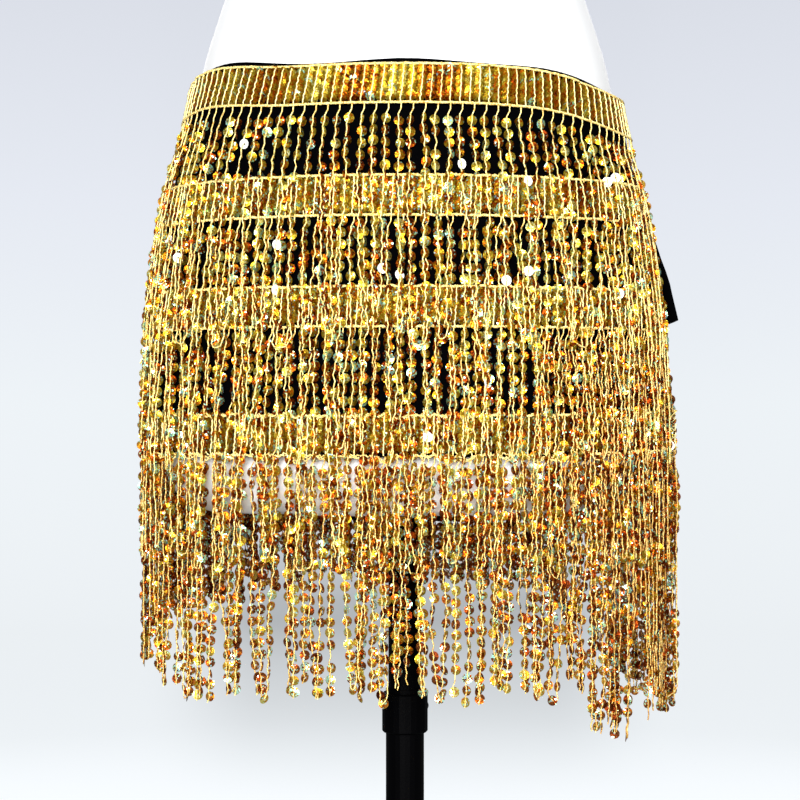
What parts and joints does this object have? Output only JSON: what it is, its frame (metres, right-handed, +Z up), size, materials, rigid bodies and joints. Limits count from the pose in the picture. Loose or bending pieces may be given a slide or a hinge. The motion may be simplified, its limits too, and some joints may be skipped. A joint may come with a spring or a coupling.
{
  "type": "belly dance hip scarf on a limbless dress form",
  "caption": "Black wrap hip scarf with tiered gold sequin bands and sequin-string fringe, tied at one hip of a limbless dress form on a telescopic stand.",
  "frame": {"origin": "centre of the stand foot's underside, on the floor", "axes": "+Z up; the wearer's front faces -Y; the knot is on the +X side, at the wearer's left hip"},
  "size_m": [0.3684, 0.33, 1.498],
  "materials": {
    "stand_metal": "black powder coat, low sheen",
    "form_cover": "smooth white jersey over a foam torso",
    "wrap_cloth": "black knit",
    "sequin_bands": "rows of gold hologram sequins with pale chain stitch",
    "sequin_fringe": "strings of gold hologram sequins on pale metallic thread"
  },
  "bodies": {
    "stand": {"stand_foot": "stand_metal", "stand_tube": "stand_metal", "stand_collar": "stand_metal", "clamp_screw": "stand_metal"},
    "mast": {"mast_tube": "stand_metal"},
    "form": {"form_flange": "stand_metal", "form_torso": "form_cover", "wrap_cloth": "wrap_cloth", "band_1": "sequin_bands", "band_2": "sequin_bands", "band_3": "sequin_bands", "band_4": "sequin_bands", "fringe_1": "sequin_fringe", "fringe_2": "sequin_fringe", "fringe_3": "sequin_fringe", "fringe_4": "sequin_fringe", "tie_front": "wrap_cloth", "tie_back": "wrap_cloth", "tie_knot": "wrap_cloth", "tie_tail_front": "wrap_cloth", "tie_tail_back": "wrap_cloth"}
  },
  "joints": [
    {"name": "height_slide", "type": "slide", "parent": "stand", "child": "mast", "axis": [0, 0, 1], "range_m": [-0.1, 0.28]},
    {"name": "form_turn", "type": "hinge", "parent": "mast", "child": "form", "pos_m": [0, 0, 0.64], "axis": [0, 0, 1], "continuous": true}
  ]
}
